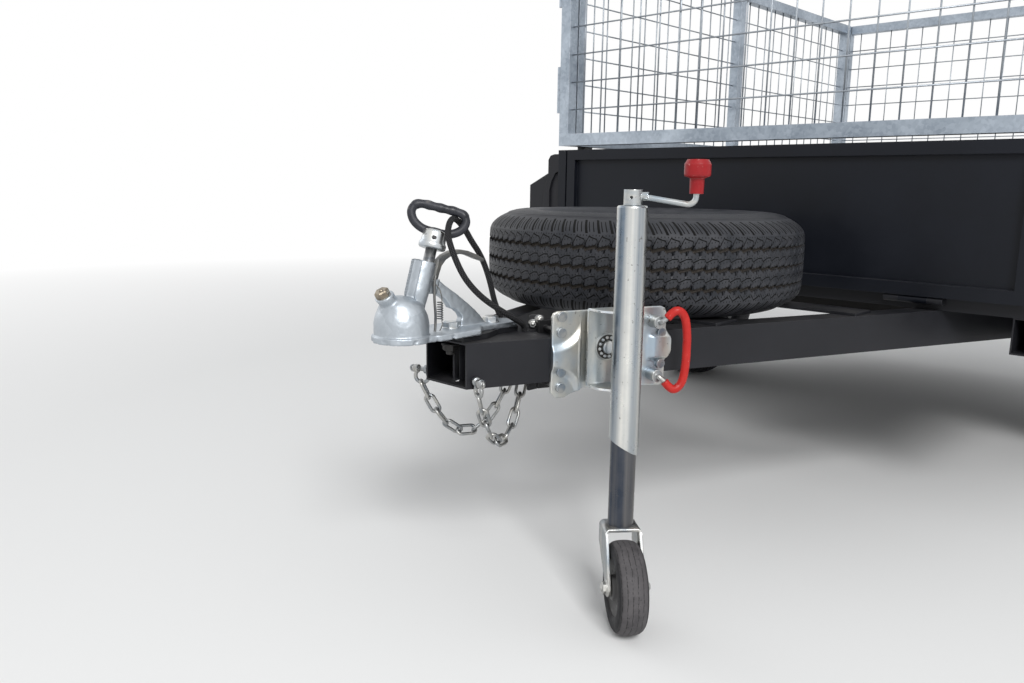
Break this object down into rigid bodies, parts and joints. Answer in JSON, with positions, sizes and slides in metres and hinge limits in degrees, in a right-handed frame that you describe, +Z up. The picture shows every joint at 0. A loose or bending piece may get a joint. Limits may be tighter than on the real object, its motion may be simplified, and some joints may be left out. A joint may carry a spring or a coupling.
{
  "type": "utility trailer",
  "caption": "Single-axle box trailer with a mesh cage, spare wheel on the drawbar, ball coupling, chains and a swing-up jockey wheel.",
  "frame": {"origin": "on the ground under the middle of the trailer's overall length, on its centreline", "axes": "+Y towards the tailgate along the trailer, so the coupling points to -Y; +Z up; +X to the trailer's left side, where the jockey wheel stands"},
  "size_m": [1.72, 3.042, 1.406],
  "materials": {
    "body_paint": "satin black paint",
    "tyre_rubber": "moulded rubber",
    "rim_paint": "silver paint",
    "dark_steel": "black paint on forged steel",
    "lamp_lens": "clear red and amber",
    "cage_galvanised": "hot-dip galvanised",
    "cast_galvanised": "galvanised casting",
    "zinc_plate": "zinc plated",
    "black_plastic": "moulded",
    "jockey_rubber": "worn solid rubber",
    "red_plastic": "moulded",
    "braided_cable": "black braid"
  },
  "bodies": {
    "chassis": {"drawbar_left": "body_paint", "drawbar_right": "body_paint", "nose_plates": "body_paint", "chassis_rails": "body_paint", "floor_cross_members": "body_paint", "floor_sheet": "body_paint", "side_panel_left": "body_paint", "side_panel_right": "body_paint", "gate_knuckles": "body_paint", "axle_beam": "dark_steel", "leaf_spring_left": "dark_steel", "leaf_spring_right": "dark_steel", "spring_hangers": "dark_steel", "spring_clips": "dark_steel", "mudguard_left": "body_paint", "mudguard_right": "body_paint", "tail_lamps": "lamp_lens", "rear_cross_plate": "body_paint", "cage_side_left": "cage_galvanised", "cage_mesh_left": "cage_galvanised", "cage_side_right": "cage_galvanised", "cage_mesh_right": "cage_galvanised", "cage_feet": "body_paint", "corner_plates": "body_paint", "spare_plates": "body_paint", "spare_tyre": "tyre_rubber", "spare_rim": "rim_paint", "coupling_body": "cast_galvanised", "coupling_spindle": "zinc_plate", "coupling_bolts": "zinc_plate", "coupling_latch": "cast_galvanised", "coupling_handle": "black_plastic", "jockey_clamp": "zinc_plate", "clamp_bolts": "zinc_plate", "bail_collars": "zinc_plate", "jockey_bail": "red_plastic", "safety_chain_left": "zinc_plate", "safety_chain_right": "zinc_plate", "chain_shackles": "zinc_plate", "lead_bracket": "body_paint", "lead": "braided_cable"},
    "wheel_left": {"tyre_left": "tyre_rubber", "rim_left": "rim_paint", "hub_left": "dark_steel"},
    "wheel_right": {"tyre_right": "tyre_rubber", "rim_right": "rim_paint", "hub_right": "dark_steel"},
    "jockey_arm": {"jockey_channel": "zinc_plate", "jockey_tube": "zinc_plate", "jockey_crank": "zinc_plate", "jockey_knob": "red_plastic"},
    "jockey_slide": {"jockey_leg": "zinc_plate"},
    "jockey_caster": {"jockey_fork": "zinc_plate"},
    "jockey_roller": {"jockey_wheel": "jockey_rubber"},
    "body_tailgate": {"tailgate": "body_paint"},
    "body_front_gate": {"front_gate": "body_paint"},
    "cage_front": {"cage_gate_front": "cage_galvanised", "cage_gate_mesh_front": "cage_galvanised"},
    "cage_rear": {"cage_gate_rear": "cage_galvanised", "cage_gate_mesh_rear": "cage_galvanised"}
  },
  "joints": [
    {"name": "left_wheel_spin", "type": "hinge", "parent": "chassis", "child": "wheel_left", "pos_m": [0.7565, 0.595, 0.333], "axis": [1, 0, 0], "continuous": true},
    {"name": "right_wheel_spin", "type": "hinge", "parent": "chassis", "child": "wheel_right", "pos_m": [-0.7565, 0.595, 0.333], "axis": [1, 0, 0], "continuous": true},
    {"name": "jockey_swing", "type": "hinge", "parent": "chassis", "child": "jockey_arm", "pos_m": [0.14853, -1.14619, 0.448], "axis": [-0.9354, 0.3535, 0], "range_deg": [-90, 0]},
    {"name": "jockey_wind", "type": "slide", "parent": "jockey_arm", "child": "jockey_slide", "axis": [0, 0, 1], "range_m": [-0.04, 0.115]},
    {"name": "jockey_swivel", "type": "hinge", "parent": "jockey_slide", "child": "jockey_caster", "pos_m": [0.22942, -1.18958, 0.164], "axis": [0, 0, 1], "continuous": true},
    {"name": "jockey_roll", "type": "hinge", "parent": "jockey_caster", "child": "jockey_roller", "pos_m": [0.26772, -1.22172, 0.075], "axis": [0.6428, 0.766, 0], "continuous": true},
    {"name": "tailgate_drop", "type": "hinge", "parent": "chassis", "child": "body_tailgate", "pos_m": [0, 1.485, 0.486], "axis": [-1, 0, 0], "range_deg": [0, 90]},
    {"name": "front_gate_drop", "type": "hinge", "parent": "chassis", "child": "body_front_gate", "pos_m": [0, -0.375, 0.486], "axis": [1, 0, 0], "range_deg": [0, 15]},
    {"name": "cage_front_swing", "type": "hinge", "parent": "chassis", "child": "cage_front", "pos_m": [-0.644, -0.3725, 0.829], "axis": [0, 0, -1], "range_deg": [0, 170]},
    {"name": "cage_rear_swing", "type": "hinge", "parent": "chassis", "child": "cage_rear", "pos_m": [0.644, 1.4825, 0.829], "axis": [0, 0, -1], "range_deg": [0, 170]}
  ]
}
